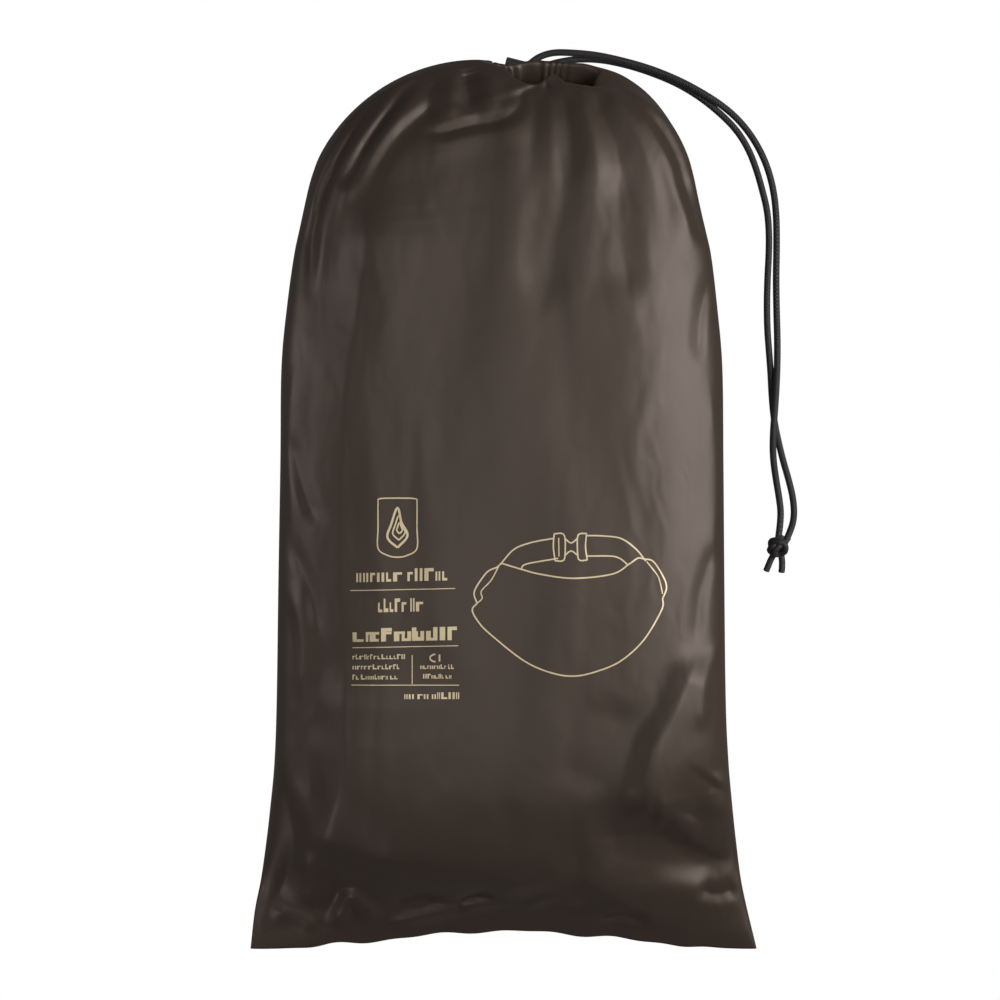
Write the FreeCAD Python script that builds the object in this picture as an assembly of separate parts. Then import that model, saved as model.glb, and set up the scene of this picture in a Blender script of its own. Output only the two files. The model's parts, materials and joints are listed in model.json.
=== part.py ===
"""Drawstring storage bag of satin cloth, lying on its back, with a heated hand warmer muff packed inside.

Frame, in millimetres: +X to the bag's right, +Y from the bottom seam to the mouth, +Z up from the surface that
the bag lies on. The origin is on that surface, under the middle of the fabric bag.
"""

import FreeCAD, Part
import math
import os

V = FreeCAD.Vector
UP = V(0, 0, 1)

# ---- driving dimensions: the bag, which is as large as the packed muff and these rooms round it ----
foot_room = 110.0         # from the bottom seam to the muff
neck_room = 202.0         # from the muff to the back lip of the gathered mouth
side_room = 33.5          # from each of the muff's cuffs to the bag's bottom corner
crown_room = 12.0         # over the muff, with the cloth
pocket_rise = 2.0         # from the bag's back to the muff's pocket
seam_height = 35.0        # side seams above the surface, over the packed middle
cloth = 0.8               # wall that stands for one layer of cloth
seam_allowance = 7.0      # turned-in edge along the side and bottom seams
seam_thickness = 1.0

# ---- driving dimensions: the gathered mouth and its cord ----
mouth_half_width = 28.0   # cord loop's centreline, across
mouth_half_height = 14.0  # cord loop's centreline, the short way
mouth_tilt = 35.0         # degrees that the mouth faces up
mouth_x = 26.0            # the mouth is pulled to the right of the middle
mouth_z = 44.0
channel_below = 6.0       # depth of the cord channel on the bag's side of the loop
channel_above = 9.0       # and on the lip's side
cord_diameter = 4.0
cord_clearance = 0.4      # between the cord and the channel
mouth_open_gap = 1.6      # between the front and back halves of the channel

# ---- driving dimensions: the cord lock ----
lock_length = 19.0        # along the button's travel
lock_depth = 12.0         # along the cords
lock_lip = 1.36           # between the cords' slot and the open end
lock_rail = 0.2           # of the plunger, above and below its slot
lock_wall = 1.6
lock_hole = 0.9           # room round the cords in the lock
lock_gap = 5.0            # from the channel's wall to the lock
button_proud = 7.0
button_travel = 3.5
lock_heading = 76.0       # direction of the cords through the lock, degrees from +X in plan
lock_pitch = 75.0         # and downwards, out of the channel's underside
lock_off = 13.8           # of the cords' exit, to the left of the mouth's middle
lock_stroke = 2.5         # that the lock can slide along the cords before they bend
spring_wire = 0.6

# ---- driving dimensions: the muff ----
muff_width = 210.0        # shell, end to end, without its cuffs
muff_height = 208.0       # top edge to bottom edge
muff_thickness = 58.0
shell_wall = 1.5
wadding_wall = 6.0
pad_thickness = 0.8       # heating pad, in a gap of its own behind the lining
pad_length = 120.0
pad_width = 80.0
lining_wall = 1.2
layer_gap = 0.2
cuff_length = 10.0
cuff_wall = 3.5
webbing_width = 30.0
webbing_thickness = 1.6
belt_inset = 7.0          # of the belt's middle from the muff's end
belt_drop = 54.0          # of the middle of its arc below the muff's top edge
buckle_length = 30.0
buckle_height = 9.0
buckle_wall = 1.8
prong_gap = 0.4
pocket_width = 130.0
pocket_height = 82.0
pocket_cloth = 0.8
lead_diameter = 2.6
switch_side = 24.0
switch_height = 3.4
switch_button_radius = 7.0
switch_travel = 0.8
switch_drop = 64.0        # of the switch's middle below the muff's top edge

# ---- overall sizes ----
bag_length = foot_room + muff_height + neck_room
bag_width = muff_width + 2 * (cuff_length + side_room)
muff_y = foot_room + (muff_height - bag_length) / 2
muff_z = cloth + pocket_rise + lead_diameter + 2 * pocket_cloth + 1.0 + muff_thickness / 2
fill_height = muff_z + muff_thickness / 2 + crown_room


# ---- helpers ----
def solid_of(shape):
    """The one solid in a shape that a loft, sweep or cut made."""
    return shape.Solids[0] if len(shape.Solids) == 1 else shape


def curve(points):
    spline = Part.BSplineCurve()
    spline.interpolate(points)
    return spline.toShape()


def slab(low, high):
    """A box from its lowest to its highest corner."""
    size = high - low
    return Part.makeBox(size.x, size.y, size.z, low)


def placed(shape, at, x_way, y_way):
    """A shape made at the origin, moved to its place with its X and Y turned to two directions."""
    made = shape.copy()
    turn = FreeCAD.Rotation(x_way, y_way, x_way.cross(y_way), "XYZ")
    made.Placement = FreeCAD.Placement(at, turn).multiply(made.Placement)
    return made


def filleted(shape, radius, wanted):
    """Rounds the edges that wanted() picks."""
    return shape.makeFillet(radius, [e for e in shape.Edges if wanted(e)])


def along(edge, axis):
    """True for a straight edge that runs along an axis."""
    a, b = edge.Vertexes[0].Point, edge.Vertexes[-1].Point
    return (b - a).Length > 1e-6 and abs((b - a).normalize().dot(axis)) > 0.999


# ---- the bag's outline ----
# Each station: share of the length from the bottom seam, how far the edge is inside the bottom corner, and crown
# and seam height as shares of the fill height and of the seam height.
STATIONS = (
    (0.000, 0.0, 0.046, 0.06),
    (0.050, 5.6, 0.390, 0.26),
    (0.140, 13.1, 0.740, 0.62),
    (0.280, 17.5, 0.950, 0.90),
    (0.460, 21.4, 1.000, 1.00),
    (0.650, 22.3, 1.000, 1.00),
    (0.780, 28.5, 0.980, 1.02),
    (0.860, 41.3, 0.930, 1.06),
    (0.925, 59.4, 0.840, 1.12),
)
# From the last station to the neck: share of the way, share of the length, and how far inside the bottom corner.
SHOULDER = (
    (0.35, 0.944, 63.9),
    (0.70, 0.957, 80.9),
)
ROUND = 0.75  # exponent of the cross-section: 1 is an ellipse, less is boxier
ROUND_BACK = 0.55  # the same, of the side that lies on the surface
FLOOR_DIP = 1.0  # the back panel is made this much lower and cut off flat
NECK_FLOOR = {0.860: 3.0, 0.925: 12.0}  # height of the underside where it rises to the mouth

tilt = math.radians(mouth_tilt)
mouth_normal = V(0, math.cos(tilt), math.sin(tilt))
mouth_up = V(0, -math.sin(tilt), math.cos(tilt))
channel_outer = cord_diameter / 2 + cord_clearance + cloth
mouth_reach = (mouth_half_height + channel_outer) * math.sin(tilt) + channel_above * math.cos(tilt)
mouth_centre = V(mouth_x, bag_length / 2 - mouth_reach, mouth_z)


def superellipse(half_width, height, power, steps=8):
    """Points of half a section, from its right end over its height to its left end."""
    points = []
    for k in range(steps + 1):
        c, s = math.cos(math.pi * k / steps), math.sin(math.pi * k / steps)
        c = 0.0 if abs(c) < 1e-9 else c
        points.append((math.copysign(abs(c) ** power, c) * half_width, height * max(s, 0.0) ** power))
    return points


def crescent(origin, up, half_width, outer, inner, power):
    """Closed wire between the outside and the inside of half a section, given its two heights."""
    rims = []
    for half, height in ((half_width, outer), (half_width - cloth, inner)):
        rims.append([origin + V(x, 0, 0) + up * v for x, v in superellipse(half, height, power)])
    out, back = rims[0], rims[1][::-1]
    edges = [curve(out), Part.makeLine(out[-1], back[0]), curve(back), Part.makeLine(back[-1], out[0])]
    return Part.Wire(edges)


def bag_panel(front):
    """Front or back panel: a smooth loft through the stations, and straight ones over the shoulder to the neck."""
    sections = []
    for share, inset, crown, seam in STATIONS:
        z = seam * seam_height
        origin = V(0, (share - 0.5) * bag_length, z)
        if front:
            outer, inner = crown * fill_height - z, crown * fill_height - z - cloth
        else:
            floor = NECK_FLOOR.get(share, -FLOOR_DIP)
            outer, inner = floor - z, (floor + cloth if share in NECK_FLOOR else cloth) - z
        sections.append((origin, bag_width / 2 - inset, outer, inner))
    power = ROUND if front else ROUND_BACK
    body = Part.makeLoft([crescent(at, UP, *rest, power) for at, *rest in sections], True, False)
    start, _, outer, inner = sections[-1]
    side = 1 if front else -1
    neck = mouth_centre - mouth_normal * channel_below
    wide, high = mouth_half_width + channel_outer, mouth_half_height + channel_outer
    wires = [crescent(start, UP, *sections[-1][1:], power)]
    for way, share, inset in SHOULDER:
        at = start + (neck - start) * way
        at.x, at.y = neck.x * way**2, (share - 0.5) * bag_length
        up = V(0, -math.sin(tilt * way), math.cos(tilt * way))
        heights = [h + (side * (high - drop) - h) * way for h, drop in ((outer, 0), (inner, cloth))]
        wires.append(crescent(at, up, bag_width / 2 - inset, *heights, power + (ROUND - power) * way))
    wires.append(crescent(neck, mouth_up, wide, side * high, side * (high - cloth), ROUND))
    panel = solid_of(body.fuse(Part.makeLoft(wires, True, True)).removeSplitter())
    if not front:
        below = slab(V(-bag_width, -bag_length, -fill_height), V(bag_width, bag_length, 0))
        panel = solid_of(panel.cut(below))
    return panel


def side_seam(side):
    """Turned-in edge of the two panels along one side, from the bottom seam to the neck."""
    wires = []
    for share, inset, crown, seam in STATIONS[1:]:
        z, outer = seam * seam_height, bag_width / 2 - inset - 4 * cloth
        y = (share - 0.5) * bag_length
        xs = (outer - seam_allowance, outer)
        low, high = z - seam_thickness / 2, z + seam_thickness / 2
        corners = [V(side * x, y, h) for x, h in ((xs[0], low), (xs[1], low), (xs[1], high), (xs[0], high))]
        wires.append(Part.makePolygon(corners + corners[:1]))
    return solid_of(Part.makeLoft(wires, True, True))


def bottom_seam():
    """Turned-in edge along the bottom, between the panels, narrower where they part."""
    y, wide = -bag_length / 2, bag_width / 2 - seam_allowance
    low, high = STATIONS[0][3] * seam_height - seam_thickness / 2, 0.7 * seam_thickness
    corners = [V(-wide, y, low), V(wide, y, low), V(0.7 * wide, y + 6.0, low), V(-0.7 * wide, y + 6.0, low)]
    return Part.Face(Part.makePolygon(corners + corners[:1])).extrude(V(0, 0, high))


# ---- the gathered mouth ----
def ellipse_prism(half_width, half_height, low, high):
    """Elliptical block along the mouth's normal, between two depths from the cord loop."""
    centre = mouth_centre + mouth_normal * low
    rim = Part.Ellipse(centre + V(half_width, 0, 0), centre + mouth_up * half_height, centre).toShape()
    return Part.Face(Part.Wire(rim)).extrude(mouth_normal * (high - low))


def ring_tube(radius):
    """Round tube along the cord loop's ellipse."""
    path = Part.Ellipse(
        mouth_centre + V(mouth_half_width, 0, 0), mouth_centre + mouth_up * mouth_half_height, mouth_centre
    ).toShape()
    start = path.Vertexes[0].Point
    profile = Part.Wire(Part.makeCircle(radius, start, path.tangentAt(path.FirstParameter)))
    return solid_of(Part.Wire(path).makePipeShell([profile], True, True))


def half_space(front, gap):
    """Block that keeps the front or the back half of the mouth, less half the gap between them."""
    reach = 3 * mouth_half_width
    block = Part.makeBox(2 * reach, reach, 2 * reach, V(-reach, gap / 2, -reach))
    if not front:
        block.translate(V(0, -reach - gap, 0))
    block.rotate(V(0, 0, 0), V(1, 0, 0), 90 + mouth_tilt)
    block.translate(mouth_centre)
    return block


def lock_place():
    """Directions of the cords and of the button, and the lock's middle."""
    heading, pitch = math.radians(lock_heading), math.radians(lock_pitch)
    cords = V(math.cos(heading) * math.cos(pitch), math.sin(heading) * math.cos(pitch), -math.sin(pitch))
    button = V(math.sin(heading), -math.cos(heading), 0)
    wide, high = mouth_half_width + channel_outer, mouth_half_height + channel_outer
    drop = high * math.sqrt(1 - (lock_off / wide) ** 2)
    wall = mouth_centre + V(-lock_off, 0, 0) - mouth_up * drop
    return cords, button, wall + cords * (lock_depth / 2 + lock_gap)


cord_way, button_way, lock_centre = lock_place()
strand_offset = (cord_diameter + cord_clearance) / 2  # of each cord from the lock's middle, along the button
slot_half = strand_offset + cord_diameter / 2 + lock_hole
slot_rise = cord_diameter / 2 + lock_hole
lead_in = lock_depth / 2 + lock_gap + 3.0  # of the cords behind the lock's middle, inside the channel


def in_lock(shape):
    """A shape made along X (cords) and Y (button), put where the lock is."""
    return placed(shape, lock_centre, cord_way, button_way)


def cord_slot(grow=0.0):
    """Room for the two cords side by side between the channel and the lock."""
    return in_lock(slab(V(-lead_in - grow, -slot_half - grow, -slot_rise), V(0, slot_half + grow, slot_rise)))


def cord_channel(front):
    """Half of the hem that the cord runs in: two layers of cloth, folded at the lip and sewn below."""
    grow = channel_outer
    outer = ellipse_prism(mouth_half_width + grow, mouth_half_height + grow, -channel_below, channel_above)
    bore = ellipse_prism(mouth_half_width - grow, mouth_half_height - grow, -channel_below - 1, channel_above + 1)
    grow -= cloth
    low, high = cloth - channel_below, channel_above - cloth
    room = ellipse_prism(mouth_half_width + grow, mouth_half_height + grow, low, high)
    core = ellipse_prism(mouth_half_width - grow, mouth_half_height - grow, low, high)
    hem = outer.cut(bore).cut(room.cut(core)).common(half_space(front, mouth_open_gap))
    if not front:
        hem = hem.cut(cord_slot())
    return solid_of(hem)


def cord_loop(front):
    """Half of the cord's turn inside the channel; the back half stops each side of the exit."""
    loop = ring_tube(cord_diameter / 2).common(half_space(front, mouth_open_gap))
    if not front:
        loop = loop.cut(cord_slot(2 * cord_clearance))
    return Part.makeCompound(loop.Solids)


# ---- the free cords ----
ROUTE_FROM = V(12.89, 254.38, 0)  # the lock's middle in plan that the routes below were laid out from
TABLE = cord_diameter / 2 + 0.1  # height of a cord's centreline where it lies
LAP = TABLE + cord_diameter + 0.4  # and where it lies over the other cord

ROUTE_OUTER = (
    (15.1, 260.4, 7.5), (20.8, 265.3, 4.4), (29.0, 267.9, 4.1), (39.5, 267.5, 5.7), (54.0, 266.2, 6.2),
    (69.0, 263.0, 6.1), (86.0, 258.3, 6.0), (103.0, 251.4, 6.0), (118.0, 243.4, 5.6), (131.4, 234.9, 3.0),
    (141.6, 225.2, TABLE), (149.6, 213.6, TABLE), (155.3, 201.4, TABLE), (159.0, 188.0, TABLE),
    (160.8, 173.0, TABLE), (161.0, 154.0, TABLE), (160.6, 135.0, TABLE), (160.9, 116.0, TABLE),
    (161.4, 99.0, TABLE + 0.2), (161.2, 85.5, 3.9), (160.6, 73.0, 5.6), (159.8, 61.0, LAP), (158.9, 49.5, LAP),
    (158.4, 39.0, 5.4), (158.8, 29.0, 3.0), (160.3, 18.0, TABLE), (162.4, 6.0, TABLE), (163.8, -6.0, TABLE + 0.4),
    (161.6, -19.3, TABLE + 1.9),
)
ROUTE_INNER = (
    (20.2, 258.0, 6.6), (26.6, 260.8, 3.4), (35.0, 263.0, 2.5), (44.0, 264.2, TABLE), (56.0, 264.0, TABLE),
    (69.4, 261.6, TABLE), (85.3, 256.9, TABLE), (102.2, 250.0, TABLE), (116.4, 241.4, TABLE), (128.2, 231.8, TABLE),
    (137.6, 222.2, TABLE), (144.4, 211.2, TABLE), (149.0, 199.4, TABLE), (152.4, 187.4, TABLE),
    (155.4, 175.4, TABLE), (156.5, 162.5, TABLE), (156.4, 149.5, TABLE), (155.6, 136.0, TABLE),
    (155.2, 120.5, TABLE), (155.4, 105.5, TABLE), (156.5, 91.5, TABLE), (157.5, 78.5, TABLE), (158.1, 65.0, TABLE),
    (159.4, 51.5, TABLE), (161.8, 39.5, TABLE), (164.6, 28.0, TABLE), (168.0, 16.5, TABLE), (170.8, 5.0, TABLE),
    (171.4, -6.5, TABLE + 0.3), (168.4, -15.5, TABLE + 1.1), (165.8, -20.6, TABLE + 2.1),
)
END_KNOT = (161.2, -23.5, 5.8)


def plan(x, y, z):
    """A point of the layout, moved with the lock when sizes change."""
    return V(x + lock_centre.x - ROUTE_FROM.x, y + lock_centre.y - ROUTE_FROM.y, z)


def strand_points(route, offset, run_out):
    """Whole route of one cord: the straight stretch through the channel's wall and the lock, then the rest."""
    start = lock_centre + button_way * offset
    lead = [start - cord_way * (lead_in - 3.2), start + cord_way * (lock_depth / 2 + run_out)]
    return lead + [plan(*p) for p in route]


def rounded_path(points, label):
    """Straight runs joined by tangent arcs, each as large as its two runs allow."""
    edges, last, radii = [], points[0], []
    for before, corner, after in zip(points, points[1:], points[2:]):
        run_in, run_out = corner - before, after - corner
        shorter = min(run_in.Length, run_out.Length)
        run_in.normalize()
        run_out.normalize()
        half_turn = math.acos(max(-1.0, min(1.0, run_in.dot(run_out)))) / 2
        reach = 0.45 * shorter
        radii.append(reach / math.tan(half_turn))
        enter, leave = corner - run_in * reach, corner + run_out * reach
        middle = (run_out - run_in).normalize()
        centre = corner + middle * (radii[-1] / math.cos(half_turn))
        top = centre - middle * radii[-1]
        edges += [Part.makeLine(last, enter), Part.Arc(enter, top, leave).toShape()]
        last = leave
    edges.append(Part.makeLine(last, points[-1]))
    wire = Part.Wire(edges)
    print(f"{label}: length {wire.Length:.1f}, radii {min(radii):.1f} least;", [round(r) for r in radii])
    return wire


def tube(points, radius, label):
    path = rounded_path(points, label)
    profile = Part.Wire(Part.makeCircle(radius, points[0], points[1] - points[0]))
    made = solid_of(path.makePipeShell([profile], True, False))
    print(f"{label}: volume over section times length {made.Volume / (math.pi * radius**2 * path.Length):.4f}")
    return made


def end_knot():
    """Overhand knot that ties both cords, and its two short tails."""
    radius = cord_diameter / 2
    middle = plan(*END_KNOT)
    squash = FreeCAD.Matrix()
    squash.scale(V(1.7, 1.42, 1.4) * cord_diameter)
    ball = Part.makeSphere(1.0).transformGeometry(squash)
    ball.translate(middle)
    tails = []
    for side, heading in ((-1.6, 248.0), (2.2, 272.0)):
        way = V(math.cos(math.radians(heading)), math.sin(math.radians(heading)), 0)
        tails.append(Part.makeCylinder(radius, 12.0, V(middle.x + side, middle.y - 1.5, TABLE + 0.4), way))
    return solid_of(ball.fuse(tails).removeSplitter())


# ---- the cord lock: made along X (cords) and Y (button), then turned into place ----
bore_depth = lock_depth - 2 * lock_wall
plunger_clearance = 0.3
bore_height = 2 * (slot_rise + lock_rail + plunger_clearance)
lock_height = bore_height + 2 * lock_wall
body_left = slot_half + lock_lip        # open end, towards the button
body_right = body_left - lock_length    # closed end, with the spring
plunger_right = -slot_half - 1.7


def lock_body():
    block = slab(V(-lock_depth / 2, body_right, -lock_height / 2), V(lock_depth / 2, body_left, lock_height / 2))
    block = filleted(block, 1.6, lambda e: along(e, V(0, 1, 0)))
    low = V(-bore_depth / 2, body_right + lock_wall, -bore_height / 2)
    bore = slab(low, V(bore_depth / 2, body_left + 1, bore_height / 2))
    slot = slab(V(-lock_depth, -slot_half, -slot_rise), V(lock_depth, slot_half, slot_rise))
    return in_lock(solid_of(block.cut(bore).cut(slot)))


def lock_button():
    """Plunger with its own cord slot, long enough for the button's travel, and a round seat for the spring."""
    half_depth, half_height = bore_depth / 2 - plunger_clearance, bore_height / 2 - plunger_clearance
    block = slab(V(-half_depth, plunger_right, -half_height), V(half_depth, body_left + button_proud, half_height))
    block = filleted(block, 0.8, lambda e: True)
    low, high = V(-lock_depth, -slot_half, -slot_rise), V(lock_depth, slot_half + button_travel, slot_rise)
    return in_lock(solid_of(block.cut(slab(low, high))))


def lock_spring():
    """Coil between the plunger and the body's closed end."""
    start = body_right + lock_wall + spring_wire / 2 + 0.1
    length = plunger_right - start - spring_wire / 2 - 0.1
    coil_radius = bore_height / 2 - 1.2
    helix = Part.makeHelix(length / 3.0, length, coil_radius)
    profile = Part.Wire(Part.makeCircle(spring_wire / 2, V(coil_radius, 0, 0), V(0, 1, 0)))
    coil = solid_of(Part.Wire(helix.Edges).makePipeShell([profile], True, True))
    coil.rotate(V(0, 0, 0), V(1, 0, 0), -90)
    coil.translate(V(0, start, 0))
    return in_lock(coil)


# ---- the muff: a padded tube for both hands, its open ends at the left and right ----
# Each section: share of the half width, of the half height, of the half thickness, and how far it is raised.
MUFF_SECTIONS = (
    (-1.0, 0.58, 0.74, 0.16),
    (-0.62, 0.88, 0.92, 0.06),
    (0.0, 1.0, 1.0, 0.0),
    (0.62, 0.88, 0.92, 0.06),
    (1.0, 0.58, 0.74, 0.16),
)


def muff_loop(x_share, high, thick, rise, inset, x_extra=0.0):
    """Closed section of the muff, taken in by inset."""
    half_y = high * muff_height / 2 - inset
    half_z = thick * muff_thickness / 2 - inset
    x = x_share * muff_width / 2 + x_extra * (1 if x_share > 0 else -1)
    y = muff_y + rise * muff_height / 2
    points = []
    for k in range(16):
        c, s = math.cos(math.pi * k / 8), math.sin(math.pi * k / 8)
        c, s = (0.0 if abs(q) < 1e-9 else q for q in (c, s))
        out, rise_z = (math.copysign(abs(q) ** ROUND, q) for q in (c, s))
        points.append(V(x, y + out * half_y, muff_z + rise_z * half_z))
    ring = Part.BSplineCurve()
    ring.interpolate(Points=points, PeriodicFlag=True)
    return Part.Wire(ring.toShape())


def muff_block(inset, x_extra=0.0):
    wires = [muff_loop(*s, inset, x_extra if abs(s[0]) == 1.0 else 0.0) for s in MUFF_SECTIONS]
    return solid_of(Part.makeLoft(wires, True, False))


def muff_layer(outer, inner):
    return solid_of(muff_block(outer).cut(muff_block(inner, 1.0)))


shell_inner = shell_wall
wadding_outer = shell_inner + layer_gap
wadding_inner = wadding_outer + wadding_wall
lining_outer = wadding_inner + 2 * layer_gap + pad_thickness
lining_inner = lining_outer + lining_wall


def heating_pad():
    """Thin sheet in the gap between the wadding and the lining, over the hands."""
    layer = muff_layer(wadding_inner + layer_gap, lining_outer - layer_gap)
    low = V(-pad_length / 2, muff_y - pad_width / 2, muff_z)
    window = slab(low, low + V(pad_length, pad_width, muff_thickness))
    return solid_of(layer.common(window))


def cuff(side):
    """Elastic ring that closes one end of the tube round the wrist."""
    _, high, thick, rise = MUFF_SECTIONS[-1]
    start, end = side * 1.0, side * (1.0 + 2 * cuff_length / muff_width)

    def block(inset, grow):
        first = muff_loop(start, high, thick, rise, inset, layer_gap - grow)
        last = muff_loop(end, high * 0.93, thick * 0.93, rise, inset, grow)
        return Part.makeLoft([first, last], True, True)

    return solid_of(block(shell_wall, 0.0).cut(block(shell_wall + cuff_wall, 1.0)))


# ---- the waist belt and its buckle ----
belt_centre = V(0, muff_y + muff_height / 2 - belt_drop, muff_z)
belt_radius = muff_width / 2 - belt_inset
belt_top = belt_centre.y + belt_radius
buckle_width = webbing_width + 2 * buckle_wall + 2.0


def belt(side):
    """Flat strap in an arc from the muff's top corner to the buckle."""
    inner, outer = belt_radius - webbing_width / 2, belt_radius + webbing_width / 2
    low = V(belt_centre.x, belt_centre.y, muff_z - webbing_thickness / 2)
    start = 24.0
    ring = Part.makeCylinder(outer, webbing_thickness, low, UP, 90.0 - start)
    ring = ring.cut(Part.makeCylinder(inner, webbing_thickness, low, UP))
    ring.rotate(low, UP, start)
    if side < 0:
        ring = ring.mirror(V(belt_centre.x, 0, 0), V(1, 0, 0))
    buckle = slab(V(-buckle_length / 2 - 0.2, 0, 0), V(buckle_length / 2 + 5.2, bag_length, fill_height))
    ring = ring.cut(muff_block(0.0)).cut(buckle)
    return max(ring.Solids, key=lambda s: s.Volume)


def bar_slot(x_low, x_high, half_width):
    return slab(V(x_low, -half_width, -buckle_height), V(x_high, half_width, buckle_height))


def buckle_female():
    """Socket half: a box with a mouth at its right, windows in its long sides and a bar for the left strap."""
    half = buckle_width / 2
    body = slab(V(-buckle_length / 2, -half, -buckle_height / 2), V(buckle_length / 3, half, buckle_height / 2))
    body = filleted(body, 2.0, lambda e: along(e, UP))
    room = slab(
        V(-buckle_length / 2 + 7.0, -half + buckle_wall, -buckle_height / 2 + buckle_wall),
        V(buckle_length, half - buckle_wall, buckle_height / 2 - buckle_wall),
    )
    low = V(-buckle_length / 6, -buckle_width, -buckle_height / 4)
    window = slab(low, V(buckle_length / 8, buckle_width, buckle_height / 4))
    slot = bar_slot(-buckle_length / 2 + 2.2, -buckle_length / 2 + 5.0, webbing_width / 2 - 1)
    made = body.cut(room).cut(window).cut(slot)
    made.translate(V(0, belt_top, muff_z))
    return solid_of(made)


def buckle_male():
    """Plug half: a base with the right strap's bar, a middle guide, and two springy arms with their catches."""
    half, rise = buckle_width / 2, buckle_height / 4 - 0.3
    low = V(buckle_length / 3 + 0.6, -half, -buckle_height / 3)
    base = slab(low, V(buckle_length / 2 + 5.0, half, buckle_height / 3))
    base = filleted(base, 2.0, lambda e: along(e, UP))
    pieces = [slab(V(-buckle_length / 6, -1.6, -rise), V(buckle_length / 3 + 2.0, 1.6, rise))]
    root, tip, catch = buckle_length / 3 + 2.0, -buckle_length / 6 + 1.0, buckle_length / 8 - 1.0
    y = half - buckle_wall - 0.8
    arm = [(root, y), (root, y - 3), (0, y - 3.2), (tip, y - 3.2), (tip, y - 1.2), (catch, y + 1.8), (catch, y - 0.4)]
    for side in (-1, 1):
        outline = [V(px, side * py, -rise) for px, py in arm]
        pieces.append(Part.Face(Part.makePolygon(outline + outline[:1])).extrude(V(0, 0, 2 * rise)))
    slot = bar_slot(buckle_length / 2 - 1.0, buckle_length / 2 + 2.0, webbing_width / 2 - 1)
    made = base.fuse(pieces).cut(slot)
    made.translate(V(0, belt_top, muff_z))
    return solid_of(made.removeSplitter())


# ---- the heater's switch, pocket, zip and lead ----
def shell_top(x, y):
    """Height of the muff's shell over a point near its middle."""
    column = Part.makeLine(V(x, y, muff_z), V(x, y, muff_z + muff_thickness))
    hit = muff_block(0.0).common(column)
    return max(v.Point.z for v in hit.Vertexes)


switch_at = V(muff_width * 0.2, muff_y + muff_height / 2 - switch_drop, 0)
switch_base = shell_top(switch_at.x - switch_side / 2, switch_at.y + switch_side / 2) - 0.6


def switch_housing():
    """Soft square pad on the shell that holds the heat button."""
    half = switch_side / 2
    top = switch_base + switch_height
    block = slab(switch_at + V(-half, -half, switch_base - 3.0), switch_at + V(half, half, top))
    block = filleted(block, 4.0, lambda e: along(e, UP))
    block = block.cut(muff_block(-0.2))
    well = Part.makeCylinder(switch_button_radius + 0.3, switch_height, switch_at + V(0, 0, top - switch_travel - 1.0))
    return solid_of(block.cut(well))


def switch_button():
    top = switch_base + switch_height
    return Part.makeCylinder(switch_button_radius, 1.0, switch_at + V(0, 0, top - 0.9))


pocket_z = muff_z - muff_thickness / 2 - lead_diameter - 2 * pocket_cloth - 1.0
zip_y = muff_y + pocket_height / 2 + 3.0


def tray(y_low, y_high, open_high, cloth_floor):
    """Shallow tray of cloth under the muff, its walls up to the shell, open on one side."""
    half = pocket_width / 2
    block = slab(V(-half, y_low, pocket_z), V(half, y_high, muff_z))
    inner_low = y_low + pocket_cloth if open_high else y_low - 1
    inner_high = y_high + 1 if open_high else y_high - pocket_cloth
    room = slab(
        V(-half + pocket_cloth, inner_low, pocket_z + cloth_floor), V(half - pocket_cloth, inner_high, muff_z + 1)
    )
    return max(block.cut(room).cut(muff_block(0.0)).Solids, key=lambda s: s.Volume)


def power_pocket():
    """Flat pocket on the back of the muff for a battery, which isn't part of the set."""
    return tray(muff_y - pocket_height / 2, zip_y - 2.6, True, pocket_cloth)


def pocket_zip():
    """Zip along the pocket's top edge: its tape and the closed teeth."""
    half = pocket_width / 2 - 6.0
    tape = tray(zip_y - 2.6, zip_y + 9.0, False, 0.6)
    teeth = slab(V(-half, zip_y + 1.6, pocket_z + 0.6), V(half, zip_y + 4.8, pocket_z + 1.5))
    return solid_of(tape.fuse(teeth).removeSplitter())


def zip_slider():
    """Slider that straddles the teeth, with its pull tab."""
    x = -pocket_width / 2 + 18.0
    middle = zip_y + 3.2
    body = slab(V(x - 4.5, middle - 3.6, pocket_z + 0.75), V(x + 4.5, middle + 3.6, pocket_z + 3.0))
    body = body.cut(slab(V(x - 5.0, middle - 1.9, pocket_z), V(x + 5.0, middle + 1.9, pocket_z + 1.7)))
    tab = slab(V(x + 2.0, middle - 1.5, pocket_z + 2.2), V(x + 16.0, middle + 1.5, pocket_z + 3.0))
    return solid_of(body.fuse(tab).removeSplitter())


def lead_route():
    z = pocket_z + pocket_cloth + 0.4 + lead_diameter / 2
    return [
        V(44.0, muff_y + 30.0, z), V(28.0, muff_y + 33.0, z), V(8.0, muff_y + 28.0, z), V(-8.0, muff_y + 12.0, z),
        V(-14.0, muff_y - 8.0, z), V(-8.0, muff_y - 24.0, z), V(8.0, muff_y - 30.0, z), V(22.0, muff_y - 28.0, z),
    ]


def lead_plug():
    """Flat power plug at the end of the heater's lead."""
    end, before = lead_route()[-1], lead_route()[-2]
    way = (end - before).normalize()
    grip = slab(V(0, -4.0, -1.5), V(15.0, 4.0, 1.5))
    tongue = slab(V(15.0, -3.0, -1.1), V(24.0, 3.0, 1.1))
    return placed(solid_of(grip.fuse(tongue).removeSplitter()), end, way, UP.cross(way))


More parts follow.
